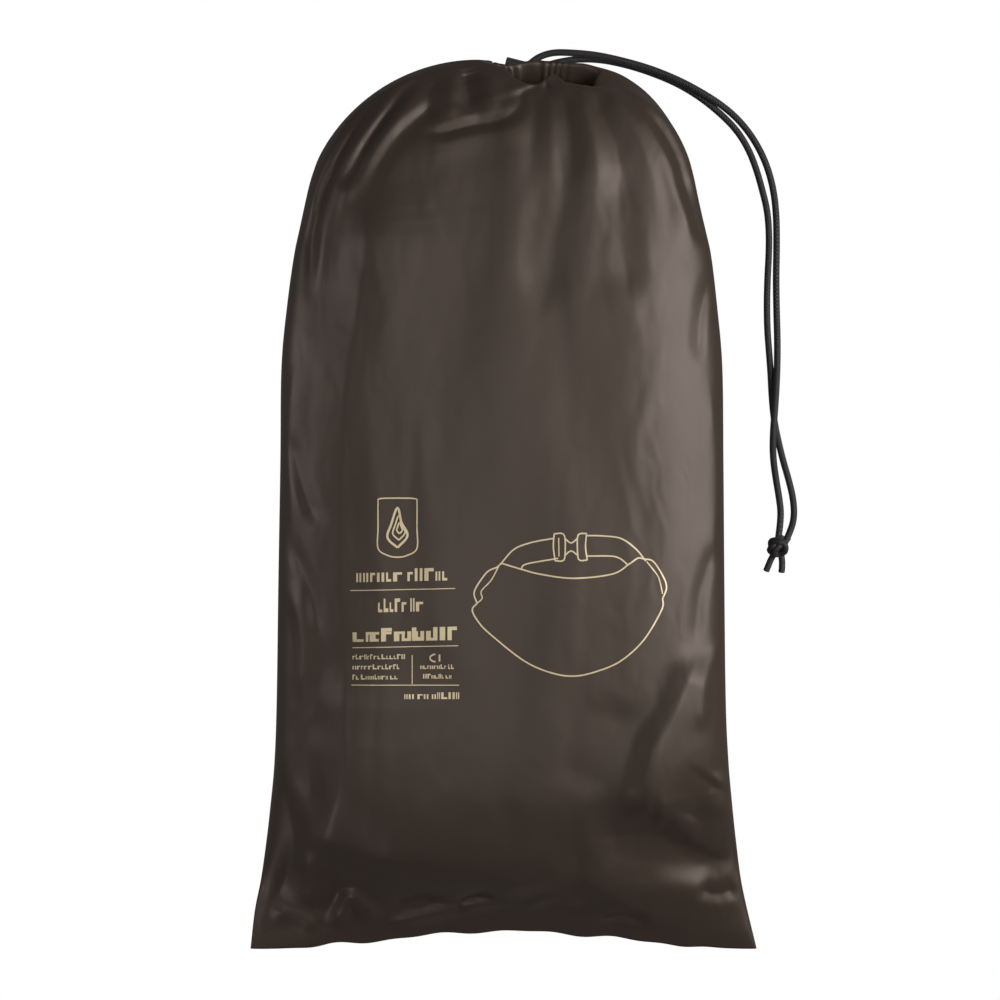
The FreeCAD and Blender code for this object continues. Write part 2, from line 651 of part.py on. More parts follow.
def build():
    """Every piece by its node name."""
    outer = strand_points(ROUTE_OUTER, -strand_offset, 1.5)
    inner = strand_points(ROUTE_INNER, strand_offset, 2.0)
    return {
        "front_panel": bag_panel(True),
        "back_panel": bag_panel(False),
        "side_seam_left": side_seam(-1),
        "side_seam_right": side_seam(1),
        "bottom_seam": bottom_seam(),
        "cord_channel_front": cord_channel(True),
        "cord_channel_back": cord_channel(False),
        "cord_loop_front": cord_loop(True),
        "cord_loop_back": cord_loop(False),
        "cord_strand_outer": tube(outer, cord_diameter / 2, "outer cord"),
        "cord_strand_inner": tube(inner, cord_diameter / 2, "inner cord"),
        "end_knot": end_knot(),
        "lock_body": lock_body(),
        "lock_button": lock_button(),
        "lock_spring": lock_spring(),
        "muff_shell": muff_layer(0.0, shell_inner),
        "muff_wadding": muff_layer(wadding_outer, wadding_inner),
        "muff_lining": muff_layer(lining_outer, lining_inner),
        "heating_pad": heating_pad(),
        "cuff_left": cuff(-1),
        "cuff_right": cuff(1),
        "waist_belt_left": belt(-1),
        "waist_belt_right": belt(1),
        "buckle_female": buckle_female(),
        "buckle_male": buckle_male(),
        "switch_housing": switch_housing(),
        "switch_button": switch_button(),
        "power_pocket": power_pocket(),
        "pocket_zip": pocket_zip(),
        "zip_slider": zip_slider(),
        "heater_lead": tube(lead_route(), lead_diameter / 2, "heater lead"),
        "lead_plug": lead_plug(),
    }


os.makedirs("parts", exist_ok=True)
for name, shape in build().items():
    print(f"{name}: valid {shape.isValid()}, solids {len(shape.Solids)}, volume {shape.Volume:.0f}")
    shape.exportStep(f"parts/{name}.step")
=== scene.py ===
"""Looks of the drawstring bag: gathered satin, foil print, braided cords, end knot and cord lock."""

import json
import math

import bpy
import numpy as np
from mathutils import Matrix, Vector, noise
from mathutils.bvhtree import BVHTree


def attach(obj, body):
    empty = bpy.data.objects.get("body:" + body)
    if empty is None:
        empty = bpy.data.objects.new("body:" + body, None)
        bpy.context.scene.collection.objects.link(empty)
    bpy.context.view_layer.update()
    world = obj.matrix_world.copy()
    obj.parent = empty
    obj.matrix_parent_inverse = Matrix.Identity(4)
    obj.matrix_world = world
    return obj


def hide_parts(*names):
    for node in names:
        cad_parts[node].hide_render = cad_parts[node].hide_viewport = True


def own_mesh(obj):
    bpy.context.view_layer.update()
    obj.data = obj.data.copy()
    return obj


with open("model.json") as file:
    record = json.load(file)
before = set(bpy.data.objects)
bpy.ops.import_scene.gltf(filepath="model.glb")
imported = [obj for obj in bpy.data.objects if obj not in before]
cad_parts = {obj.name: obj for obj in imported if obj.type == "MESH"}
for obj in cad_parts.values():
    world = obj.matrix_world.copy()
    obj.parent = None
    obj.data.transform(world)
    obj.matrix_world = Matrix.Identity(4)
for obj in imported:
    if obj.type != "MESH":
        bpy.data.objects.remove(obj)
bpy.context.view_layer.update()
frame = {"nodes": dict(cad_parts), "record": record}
MM = 0.001
SPLINE_STEPS = 24  # points worked out between two given ones


# ---------------------------------------------------------------- helpers
def smooth(t):
    t = np.clip(t, 0.0, 1.0)
    return t * t * (3 - 2 * t)


def spline(points, count):
    """Points of a smooth curve through the given ones, evenly spaced along it."""
    p = np.array(points, float)
    ext = np.vstack([2 * p[0] - p[1], p, 2 * p[-1] - p[-2]])
    out = []
    for k in range(1, len(ext) - 2):
        a, b, c, d = ext[k - 1 : k + 3]
        for t in np.linspace(0, 1, SPLINE_STEPS, endpoint=False):
            square, cube = 2 * a - 5 * b + 4 * c - d, 3 * b - a - 3 * c + d
            out.append(0.5 * (2 * b + (c - a) * t + square * t**2 + cube * t**3))
    out = np.array(out + [p[-1]])
    along = np.r_[0, np.cumsum(np.linalg.norm(np.diff(out, axis=0), axis=1))]
    want = np.linspace(0, along[-1], count)
    return np.stack([np.interp(want, along, out[:, k]) for k in range(out.shape[1])], 1)


def mesh_object(name, verts, faces):
    mesh = bpy.data.meshes.new(name)
    mesh.from_pydata([tuple(v) for v in verts], [], faces)
    mesh.update()
    mesh.shade_smooth()
    obj = bpy.data.objects.new(name, mesh)
    bpy.context.scene.collection.objects.link(obj)
    return obj


def grid_faces(rows, columns, closed):
    faces = []
    for r in range(rows - 1):
        for c in range(columns if closed else columns - 1):
            n = (c + 1) % columns
            here, above = r * columns, (r + 1) * columns
            faces.append((here + c, here + n, above + n, above + c))
    return faces


# ---------------------------------------------------------------- the bag's shape, in millimetres
# y, left edge, right edge, crown height, seam height, floor height
OUTLINE = np.array(
    [
        (-260, -148.4, 148.4, 4.0, 2.2, 0.9),
        (-237, -145.5, 142.6, 22, 6, 0.8),
        (-218, -141.5, 138.4, 42, 11, 0.8),
        (-196, -138.0, 135.2, 59, 17, 0.8),
        (-172, -134.8, 132.2, 69, 23, 0.8),
        (-147, -132.1, 129.6, 73, 28, 0.8),
        (-112, -130.6, 127.8, 75, 31, 0.8),
        (-42, -129.4, 126.8, 77, 34, 0.8),
        (27, -128.2, 126.2, 77.5, 35, 0.8),
        (80, -127.6, 125.6, 77, 35, 0.8),
        (114, -124.6, 122.8, 76.5, 35, 0.8),
        (149, -119.6, 118.4, 76, 36, 1.2),
        (176, -113.4, 111.6, 75, 37, 3.2),
    ]
)
ROUND = 0.72  # how square a ring is: 1 would be an ellipse, less is squarer
AROUND = 400  # points round the bag, half of them on the front
BODY_ROWS = 280  # rows of the outline
GATHER_ROWS = 96  # rows from the outline's end to the lip
INSIDE_ROWS = 14  # rows from the lip down inside the mouth
# which way the cloth runs where it meets the lip
MOUTH_WAY_FRONT, MOUTH_WAY_BACK = np.array([0, 0.86, 0.42]), np.array([0, 0.93, 0.36])
LIP_FRONT = [
    (54.5, 246.5, 51), (53.0, 241.6, 54), (49.0, 239.4, 57), (43.8, 240.4, 58), (39.0, 241.4, 58.5),
    (32.8, 243.2, 58), (29.6, 246.2, 56.5), (27.2, 246.8, 56.2), (24.4, 244.8, 56.6), (21.2, 241.9, 58),
    (18.4, 240.8, 59), (14.2, 241.2, 59.5), (9.4, 242.6, 58.8), (5.2, 245.6, 57), (1.0, 249.9, 54),
    (-4.0, 252.9, 51.5), (-8.5, 254.4, 50), (-14.0, 256.4, 48.5),
]
LIP_BACK = [
    (54.5, 246.5, 51), (55.6, 250.0, 48), (52.0, 252.4, 46.5), (45.1, 254.6, 46), (39.4, 255.2, 45.5),
    (30.5, 255.9, 45), (24.0, 256.4, 44.6), (17.5, 256.9, 44.4), (12.6, 256.2, 44.6), (7.0, 254.6, 45.6),
    (2.0, 254.0, 46.6), (-4.0, 254.9, 47.2), (-9.0, 256.2, 47.6), (-14.0, 256.4, 48.5),
]


def smooth_outline():
    """The outline's rows made smooth, about 1.6 mm apart."""
    return spline(OUTLINE, BODY_ROWS)


def section(row):
    """One ring of the bag: from the right seam over the front to the left seam, and back below."""
    y, left, right, crown, seam, floor = row
    half, mid = (right - left) / 2, (right + left) / 2
    a = np.linspace(0, 2 * math.pi, AROUND, endpoint=False)
    c, s = np.cos(a), np.sin(a)
    flat = smooth((-135 - y) / 90.0)  # towards the bottom the two panels meet in a flatter edge
    x = mid + np.sign(c) * np.abs(c) ** (ROUND + 0.2 * flat) * half
    up = np.where(s >= 0, crown - seam, seam - floor + 1.0)
    z = seam + np.sign(s) * np.abs(s) ** np.where(s >= 0, ROUND + 0.5 * flat, ROUND) * up
    return np.stack([x, np.full_like(x, y), np.maximum(z, floor)], 1)


def lip_ring():
    half = AROUND // 2
    front = spline(LIP_FRONT, half + 1)
    back = spline(LIP_BACK[::-1], half + 1)
    return np.vstack([front[:-1], back[:-1]])


def gather(u):
    """Ups and downs of the gathered cloth round the mouth, finer and coarser, for u from 0 to 1."""
    fine = np.sin(2 * math.pi * (27 * u + 0.6 * np.sin(2 * math.pi * 5 * u)))
    coarse = np.sin(2 * math.pi * (13 * u + 0.5 * np.sin(2 * math.pi * 3 * u + 1.0)) + 0.8)
    return fine, coarse


def bag_points():
    """Rows of points from the bottom seam to the lip, then down inside the mouth."""
    rows = [section(r) for r in smooth_outline()]
    start, lip = rows[-1], lip_ring()
    u = np.arange(AROUND) / AROUND
    front = np.clip(np.sin(2 * math.pi * u) * 4, 0, 1)[:, None]
    side = np.cos(2 * math.pi * u)[:, None]
    normal = MOUTH_WAY_FRONT * front + MOUTH_WAY_BACK * (1 - front)
    reach = 48 - 6 * np.abs(side)
    p1 = start + np.array([0, 1, 0]) * reach
    p1[:, 0] += (-side * 4)[:, 0]
    flare = np.where(side > 0, 26 * side, 52 * side)
    p2 = lip - normal * 12 + np.hstack([flare, 12 * np.abs(side), np.zeros_like(side)])
    p2[:, 2] += (front * 10 - (1 - front) * (1 - np.abs(side)) * 14)[:, 0]
    fine, coarse = gather(u)
    # 1 over the bag's front, -1 over its back
    over = np.sign(np.sin(2 * math.pi * u) + 1e-9)[:, None]
    centre = lip.mean(0)
    for k in range(1, GATHER_ROWS + 1):
        t = k / GATHER_ROWS
        q = (1 - t) ** 3 * start + 3 * (1 - t) ** 2 * t * p1 + 3 * (1 - t) * t * t * p2 + t**3 * lip
        wave = 0.9 * fine * smooth((t - 0.62) / 0.3)
        wave = wave + 1.7 * coarse * smooth((t - 0.25) / 0.5) * (1 - 0.55 * t)
        out = q - centre
        out[:, 1] *= 0.3
        out /= np.linalg.norm(out, axis=1)[:, None]
        out = out * (0.25 + 0.75 * t) + np.array([0, 0, 1.0]) * over * (0.75 * (1 - t))
        rows.append(q + out * (wave * (0.35 + 0.65 * (1 - t)))[:, None])
    # the body runs into the gathered part without a kink
    joint, window, reach_rows = len(rows) - GATHER_ROWS, 9, 20
    beside = range(joint - reach_rows, joint + reach_rows + 1)
    even = [np.mean(rows[k - window : k + window + 1], axis=0) for k in beside]
    for k, row in zip(beside, even):
        share = smooth((reach_rows - abs(k - joint)) / 8.0)
        rows[k] = rows[k] * (1 - share) + row * share
    rim = rows[-1]
    for k in range(1, INSIDE_ROWS + 1):
        t = k / INSIDE_ROWS
        turn = rim.copy()
        towards = centre - rim
        towards[:, 2] = 0
        towards /= np.linalg.norm(towards, axis=1)[:, None] + 1e-9
        depth = 0.9 * math.sin(min(t * 5, 1) * math.pi / 2)
        inwards = towards * (depth + 2.2 * t + 0.8 * coarse[:, None] * t)
        turn += inwards - np.array([0, 0.85, 0.5]) * (26 * t**1.3)
        rows.append(turn)
    return np.array(rows)


# ---------------------------------------------------------------- creases of the cloth
def crease(p, points, height, left, right, taper=(0.25, 0.25)):
    """Height of a fold line in plan: a crisp ridge, or a valley if negative, with a flank on each side.

    Left and right are how wide the flanks are, seen along the line.
    """
    line = spline(points, 28)
    reach = 1.6 * max(left, right)
    near = np.all((p > line.min(0) - reach) & (p < line.max(0) + reach), axis=1)
    q = p[near]
    best = np.full(len(q), 1e9)
    side, share = np.zeros(len(q)), np.zeros(len(q))
    for k in range(len(line) - 1):
        a, b = line[k], line[k + 1]
        d = b - a
        t = np.clip(((q - a) @ d) / (d @ d), 0, 1)
        off = q - (a + t[:, None] * d)
        dist = np.hypot(off[:, 0], off[:, 1])
        closer = dist < best
        best[closer] = dist[closer]
        side[closer] = (d[0] * off[:, 1] - d[1] * off[:, 0])[closer]
        share[closer] = ((k + t) / (len(line) - 1))[closer]
    width = np.where(side > 0, left, right)
    tip = np.hypot(best, 1.1) - 1.1
    flank = 0.13 * np.logaddexp(0, (1 - tip / width) / 0.13)
    out = np.zeros(len(p))
    out[near] = height * flank * smooth(share / taper[0]) * smooth((1 - share) / taper[1])
    return out


# points in plan, height, left and right flank, and where the ends taper
CREASES = [
    # left shoulder: folds that run down and out from the gathered hem
    ([(-38, 246), (-56, 228), (-73, 206), (-86, 184), (-94, 160)], 2.6, 9, 5),
    ([(-52, 240), (-66, 222), (-80, 200), (-90, 178)], -2.4, 4, 4),
    ([(-56, 243), (-74, 222), (-90, 196), (-101, 168), (-106, 136)], 2.4, 4, 4),
    ([(-62, 243), (-82, 220), (-98, 192), (-108, 158), (-111, 112)], -2.6, 4, 4),
    ([(-66, 246), (-88, 220), (-104, 190), (-113, 150)], 2.2, 4, 3),
    ([(-90, 190), (-96, 170), (-102, 146), (-106, 118)], 2.0, 8, 3, (0.15, 0.4)),
    ([(-30, 238), (-48, 222), (-64, 206), (-78, 182)], -1.8, 8, 5),
    ([(-72, 232), (-90, 210), (-103, 184)], 1.4, 3, 3),
    ([(-44, 250), (-62, 240), (-78, 226)], 1.6, 4, 5),
    # hem: the stitch line of the cord channel round the mouth, and the folds above it
    ([(-54, 217), (-38, 212), (-20, 216), (0, 220), (9, 228), (9, 240)], -2.2, 5, 4, (0.3, 0.15)),
    ([(-52, 212), (-36, 207), (-18, 211), (2, 214), (14, 222)], 1.2, 4, 10, (0.3, 0.3)),
    ([(-22, 252), (-21, 238), (-18, 223)], -3.0, 8, 4),
    ([(-28, 250), (-30, 238), (-30, 220)], 1.8, 5, 7),
    ([(-38, 246), (-43, 232), (-42, 216)], -1.6, 5, 6),
    ([(-6, 250), (-7, 236), (-3, 223)], 1.8, 6, 7),
    ([(16, 238), (18, 222), (16, 200), (8, 170)], -0.9, 6, 8, (0.15, 0.6)),
    ([(24, 241), (27, 222), (27, 196), (22, 160)], 1.2, 7, 9, (0.15, 0.6)),
    ([(33, 238), (37, 220), (38, 196), (34, 160)], -1.3, 6, 9, (0.15, 0.6)),
    ([(42, 239), (48, 216), (52, 190), (52, 150)], 1.2, 6, 10, (0.15, 0.6)),
    ([(50, 239), (60, 214), (68, 188), (74, 150)], -1.4, 7, 7, (0.15, 0.6)),
    ([(57, 240), (72, 218), (84, 190), (92, 150)], 1.6, 6, 7, (0.15, 0.6)),
    ([(60, 244), (80, 226), (96, 198), (106, 160)], -1.6, 5, 5, (0.15, 0.5)),
    # soft valleys down the front
    ([(26, 226), (31, 200), (34, 176), (28, 146), (20, 104)], -2.2, 16, 20),
    ([(64, 196), (66, 160), (72, 116)], -2.0, 12, 22),
    ([(-82, 186), (-78, 150), (-82, 110), (-90, 60), (-90, 0)], 5.0, 60, 20, (0.2, 0.4)),
    ([(-90, 50), (-93, -20), (-90, -80), (-91, -130)], 2.4, 50, 20, (0.4, 0.3)),
    # right shoulder
    ([(64, 240), (86, 212), (101, 178), (107, 142)], 3.0, 6, 9),
    ([(80, 230), (98, 200), (108, 166)], -2.6, 5, 4),
    ([(98, 196), (106, 172), (115, 148)], -2.6, 5, 4),
    # lower right: the large fold, dark on its left flank
    ([(113, -80), (98, -115), (86, -138), (81, -159), (83, -178)], 6.5, 44, 13, (0.2, 0.08)),
    ([(46, -190), (64, -187), (82, -187), (100, -193), (118, -202), (136, -208)], -8.0, 22, 20, (0.2, 0.2)),
    ([(84, -174), (96, -176), (104, -185), (116, -195), (132, -203)], 3.4, 12, 10, (0.12, 0.25)),
    ([(70, -106), (58, -138), (44, -168)], -1.6, 26, 26),
    ([(103, -180), (112, -168), (122, -154)], -3.6, 18, 12, (0.2, 0.2)),
    ([(126, -148), (129, -165), (127, -182)], 4.0, 7, 16, (0.3, 0.3)),
    ([(112, -222), (124, -226), (138, -222)], -2.4, 8, 6),
    # lower edge: where the cloth turns down to the seam
    ([(46, -206), (28, -212), (8, -222), (-8, -233)], 4.2, 18, 26, (0.3, 0.3)),
    ([(40, -204), (54, -220), (76, -236), (104, -246)], 4.6, 26, 16, (0.3, 0.3)),
    ([(-86, -206), (-58, -199), (-28, -205), (0, -214), (16, -220)], 4.4, 34, 26),
    ([(-101, -252), (-94, -238), (-89, -228), (-80, -236), (-72, -250)], 4.8, 6, 8),
    ([(-74, -250), (-56, -247), (-37, -243), (-16, -238), (8, -240)], 4.2, 5, 8),
    ([(-66, -236), (-50, -230), (-34, -234)], -3.1, 5, 8),
    ([(-30, -246), (-20, -232), (-6, -226)], -3.4, 5, 6),
    ([(10, -243), (28, -232), (48, -236)], 3.4, 6, 6),
    ([(54, -250), (68, -243), (86, -246)], -2.8, 4, 4),
    # lower left
    (
        [(-88, -84), (-90, -112), (-90, -140), (-92, -160), (-101, -190), (-106, -206)],
        6.0, 60, 15, (0.25, 0.15),
    ),
    ([(-106, -108), (-113, -138), (-108, -180)], -2.4, 10, 12),
    ([(-128, -150), (-124, -170), (-121, -192), (-128, -218), (-140, -238)], -3.0, 9, 10),
    ([(-116, -196), (-110, -216), (-116, -236)], 2.6, 12, 6),
    ([(-138, -236), (-122, -240), (-108, -250)], 2.0, 6, 6),
    ([(-104, -208), (-98, -222), (-90, -230)], -2.4, 8, 6),
    # sides
    ([(-118, 88), (-122, 40), (-119, -24)], 2.2, 10, 4),
    ([(-122, 46), (-114, 12), (-104, -14)], -1.8, 6, 5),
    ([(-122, -40), (-114, -76), (-116, -112)], 2.2, 9, 5),
    ([(-122, -16), (-110, -46), (-104, -78)], -1.6, 6, 5),
    ([(116, 80), (121, 20), (118, -50)], 2.0, 4, 9),
    ([(122, -16), (112, -48), (108, -84)], -2.0, 5, 6),
    ([(124, -74), (114, -100), (112, -130)], 2.0, 5, 6),
    ([(120, 140), (112, 112), (110, 80)], -1.8, 4, 6),
]


def uneven(p, seed, wide, tall):
    """Quiet unevenness of the cloth: warped noise with patches of the given width and height."""
    out = np.empty(len(p))
    for k, (x, y) in enumerate(p):
        bend = noise.noise((x / (1.6 * wide), y / (1.2 * tall), seed + 20.0))
        out[k] = noise.noise((x / wide + 1.1 * bend, y / tall + 0.7 * bend, seed))
    return out


def build_bag():
    rows = bag_points()
    count, around, _ = rows.shape
    p = rows.reshape(-1, 3)
    front = np.zeros((count, around), bool)
    front[:, 1 : around // 2] = True
    outside = np.zeros((count, around), bool)
    outside[: count - INSIDE_ROWS] = True
    pick = (front & outside).ravel()
    edge = np.minimum(np.arange(around), np.abs(around // 2 - np.arange(around)))
    fade = np.tile(smooth(edge / 14.0), (count, 1)).ravel()[pick]
    lip_row = smooth((count - INSIDE_ROWS - np.arange(count)) / 16.0)[:, None]
    lip_fade = np.tile(lip_row, (1, around)).ravel()[pick]
    bottom_fade = np.tile(smooth(np.arange(count) / 10.0)[:, None], (1, around)).ravel()[pick]
    plan = p[pick][:, :2]
    rise = sum(crease(plan, *c) for c in CREASES)
    rise += 2.4 * uneven(plan, 3, 40, 190) + 0.45 * uneven(plan, 5, 15, 50) + 0.16 * uneven(plan, 8, 6, 14)
    # two broad hollows, at the lower corners
    for x, y, wide, tall, deep in ((94, -204, 42, 20, 10.0), (-112, -226, 26, 22, 5.0)):
        rise -= deep * np.exp(-(((plan[:, 0] - x) / wide) ** 2) - ((plan[:, 1] - y) / tall) ** 2)
    p[pick, 2] += rise * fade * lip_fade * bottom_fade
    # the bottom seam bows up between its two flat corners
    bow = 11.0 * (1 - smooth(np.abs(p[:, 0] - 2) / 150.0)) * smooth((-200 - p[:, 1]) / 60.0)
    p[:, 1] += bow
    wave = 0.8 * np.sin(p[:, 0] / 9.0) + 0.6 * np.sin(p[:, 0] / 5.1 + 2)
    p[:, 1] += wave * smooth((-236 - p[:, 1]) / 20.0) * smooth((130 - np.abs(p[:, 0])) / 30.0)
    p[:, 2] = np.maximum(p[:, 2], 0.9)
    return mesh_object("bag_cloth", p * MM, grid_faces(count, around, True))


bag = build_bag()


# ---------------------------------------------------------------- materials
def material(name, color, roughness, **sockets):
    m = bpy.data.materials.new(name)
    m.use_nodes = True
    shader = m.node_tree.nodes["Principled BSDF"]
    shader.inputs["Base Color"].default_value = (*color, 1)
    shader.inputs["Roughness"].default_value = roughness
    for key, value in sockets.items():
        shader.inputs[key.replace("_", " ")].default_value = value
    return m


def link(m, a, out, b, into):
    m.node_tree.links.new(a.outputs[out], b.inputs[into])


def node(m, kind, **values):
    n = m.node_tree.nodes.new(kind)
    for key, value in values.items():
        if key in n.inputs:
            n.inputs[key].default_value = value
        else:
            setattr(n, key, value)
    return n


def satin():
    """Dark satin: a soft sheen along the weave, faint slubs and a fine grain."""
    m = material("satin", (0.038, 0.0248, 0.0180), 0.44, Sheen_Weight=0.06, Sheen_Roughness=0.5)
    shader = m.node_tree.nodes["Principled BSDF"]
    shader.inputs["Sheen Tint"].default_value = (0.9, 0.8, 0.72, 1)
    shader.inputs["Specular Tint"].default_value = (1.0, 0.86, 0.76, 1)
    shader.inputs["Specular IOR Level"].default_value = 0.7
    where = node(m, "ShaderNodeTexCoord")
    stretch = node(m, "ShaderNodeMapping")
    stretch.inputs["Scale"].default_value = (900, 220, 220)
    grain = node(m, "ShaderNodeTexNoise", Scale=1.0, Detail=2.0)
    cloud = node(m, "ShaderNodeTexNoise", Scale=16.0, Detail=3.0)
    ramp = node(m, "ShaderNodeMapRange")
    ramp.inputs["To Min"].default_value = 0.40
    ramp.inputs["To Max"].default_value = 0.52
    bump = node(m, "ShaderNodeBump", Strength=0.10, Distance=0.0002)
    link(m, where, "Object", stretch, "Vector")
    link(m, stretch, "Vector", grain, "Vector")
    link(m, where, "Object", cloud, "Vector")
    link(m, cloud, "Fac", ramp, "Value")
    link(m, ramp, "Result", shader, "Roughness")
    link(m, grain, "Fac", bump, "Height")
    link(m, bump, "Normal", shader, "Normal")
    return m


def braid():
    """Black round braid: strands crossing in two directions round the cord."""
    m = material("cord", (0.016, 0.013, 0.013), 0.55, Sheen_Weight=0.15)
    shader = m.node_tree.nodes["Principled BSDF"]
    where = node(m, "ShaderNodeTexCoord")
    waves = []
    for turn in (1, -1):
        place = node(m, "ShaderNodeMapping")
        place.inputs["Scale"].default_value = (150.0, 4.0 * turn, 1)
        wave = node(m, "ShaderNodeTexWave", Scale=1.0, Distortion=0.0)
        wave.bands_direction = "DIAGONAL"
        link(m, where, "UV", place, "Vector")
        link(m, place, "Vector", wave, "Vector")
        waves.append(wave)
    both = node(m, "ShaderNodeMath", operation="MULTIPLY")
    m.node_tree.links.new(waves[0].outputs["Fac"], both.inputs[0])
    m.node_tree.links.new(waves[1].outputs["Fac"], both.inputs[1])
    bump = node(m, "ShaderNodeBump", Strength=0.6, Distance=0.0004)
    link(m, both, "Value", bump, "Height")
    link(m, bump, "Normal", shader, "Normal")
    return m


SATIN = satin()
BRAID = braid()
FOIL = material("foil_print", (0.72, 0.60, 0.38), 0.42, Metallic=0.55)
LOCK = material("lock_plastic", (0.045, 0.040, 0.038), 0.42)
KNOT = material("knot_braid", (0.016, 0.013, 0.013), 0.6, Sheen_Weight=0.1)
LOOKS = {
    "spring_steel": material("spring_steel", (0.55, 0.55, 0.56), 0.3, Metallic=1.0),
    "lock_plastic": LOCK,
    "cord": BRAID,
    "shell_cloth": material("shell_cloth", (0.07, 0.075, 0.05), 0.85, Sheen_Weight=0.2),
    "wadding": material("wadding", (0.75, 0.75, 0.72), 0.95),
    "lining_cloth": material("lining_cloth", (0.05, 0.05, 0.05), 0.95, Sheen_Weight=0.3),
    "heater_film": material("heater_film", (0.08, 0.08, 0.09), 0.5),
    "cuff_knit": material("cuff_knit", (0.035, 0.035, 0.035), 0.9),
    "webbing": material("webbing", (0.03, 0.03, 0.03), 0.75),
    "switch_rubber": material("switch_rubber", (0.03, 0.03, 0.03), 0.5),
    "lead_jacket": material("lead_jacket", (0.02, 0.02, 0.02), 0.5),
}
slots = {s["node"]: s["material_slot"] for s in frame["record"]["subparts"]}
for name, obj in frame["nodes"].items():
    if slots[name] in LOOKS:
        obj.data.materials.clear()
        obj.data.materials.append(LOOKS[slots[name]])

# ---------------------------------------------------------------- the bag's cloth as one piece
bag.data.materials.append(SATIN)
solid = bag.modifiers.new("cloth", "SOLIDIFY")
solid.thickness = 0.0008
solid.offset = -1.0
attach(bag, "bag")
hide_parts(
    "front_panel", "back_panel", "side_seam_left", "side_seam_right", "bottom_seam",
    "cord_channel_front", "cord_channel_back", "cord_loop_front", "cord_loop_back",
)

bag_tree = BVHTree.FromObject(bag, bpy.context.evaluated_depsgraph_get())


def on_front(points, lift=0.15):
    """Points in plan, in millimetres, put on the bag's front."""
    out = []
    for x, y in points:
        hit = bag_tree.ray_cast(Vector((x * MM, y * MM, 0.2)), Vector((0, 0, -1)))[0]
        out.append((x, y, hit.z / MM + lift if hit else 0.0))
    return out


# ---------------------------------------------------------------- the foil print
INK_VERTS, INK_FACES = [], []


def ribbon(points, width):
    """A printed line of even width through the points."""
    length = sum(math.dist(a, b) for a, b in zip(points, points[1:]))
    line = spline(points, max(3, int(length / 1.2)))
    way = np.gradient(line, axis=0)
    way /= np.linalg.norm(way, axis=1)[:, None]
    off = np.stack([-way[:, 1], way[:, 0]], 1) * width / 2
    first = len(INK_VERTS)
    for a, b in zip(line + off, line - off):
        INK_VERTS.extend(on_front([a, b]))
    for k in range(len(line) - 1):
        i = first + 2 * k
        INK_FACES.append((i, i + 1, i + 3, i + 2))


def bar(x0, y0, x1, y1, tilt=0.0):
    """A printed block; tilt is its rise over its run."""
    columns = max(2, int((x1 - x0) / 2.0) + 1)
    rows = max(2, int((y1 - y0) / 2.0) + 1)
    first = len(INK_VERTS)
    xs, ys = np.linspace(x0, x1, columns), np.linspace(y0, y1, rows)
    INK_VERTS.extend(on_front([(x, y + tilt * x) for y in ys for x in xs]))
    INK_FACES.extend(tuple(first + i for i in f) for f in grid_faces(rows, columns, False))


def words(x0, x1, y0, y1, stroke, seed, tilt=0.0):
    """Blocks of uneven width and height in place of a line of lettering."""
    r = np.random.default_rng(seed)
    x = x0
    while x < x1 - stroke:
        width = min(stroke * r.uniform(0.8, 1.9), x1 - x)
        top = y1 if r.uniform() < 0.35 else y0 + 0.72 * (y1 - y0)
        kind = r.integers(0, 3)
        if kind == 0:
            bar(x, y0, x + width, y0 + (top - y0) * 0.28, tilt)
            bar(x, y0, x + width * 0.38, top, tilt)
        elif kind == 1:
            bar(x, y0, x + width * 0.36, top, tilt)
            bar(x + width * 0.64, y0, x + width, top, tilt)
        else:
            bar(x, y0, x + width * 0.45, top, tilt)
            bar(x, top - (top - y0) * 0.26, x + width, top, tilt)
        x += width + stroke * (0.36 if r.uniform() < 0.85 else 1.0)


def emblem(x, y, w, h):
    """A plain rounded frame with a small flame in it."""
    top, bottom, left, right = y + h / 2, y - h / 2, x - w / 2, x + w / 2
    corners = [
        (x, top), (left + 1, top - 0.4), (left, top - 3), (left, y), (left, bottom + 5),
        (x - w / 4, bottom + 1), (x, bottom), (x + w / 4, bottom + 1),
        (right, bottom + 5), (right, y), (right, top - 3), (right - 1, top - 0.4), (x, top),
    ]
    ribbon(corners, 0.8)
    for k, (scale, lean) in enumerate(((1.0, 0.0), (0.62, 0.8), (0.3, 1.2))):
        s = h * 0.34 * scale
        flame = [
            (x + lean, y - s), (x - 0.5 * s + lean, y - 0.5 * s), (x - 0.32 * s + lean, y + 0.15 * s),
            (x + lean, y + s), (x + 0.2 * s + lean, y + 0.25 * s), (x + 0.5 * s + lean, y - 0.4 * s),
            (x + lean, y - s),
        ]
        ribbon(flame, 1.3 if k == 0 else 0.9)


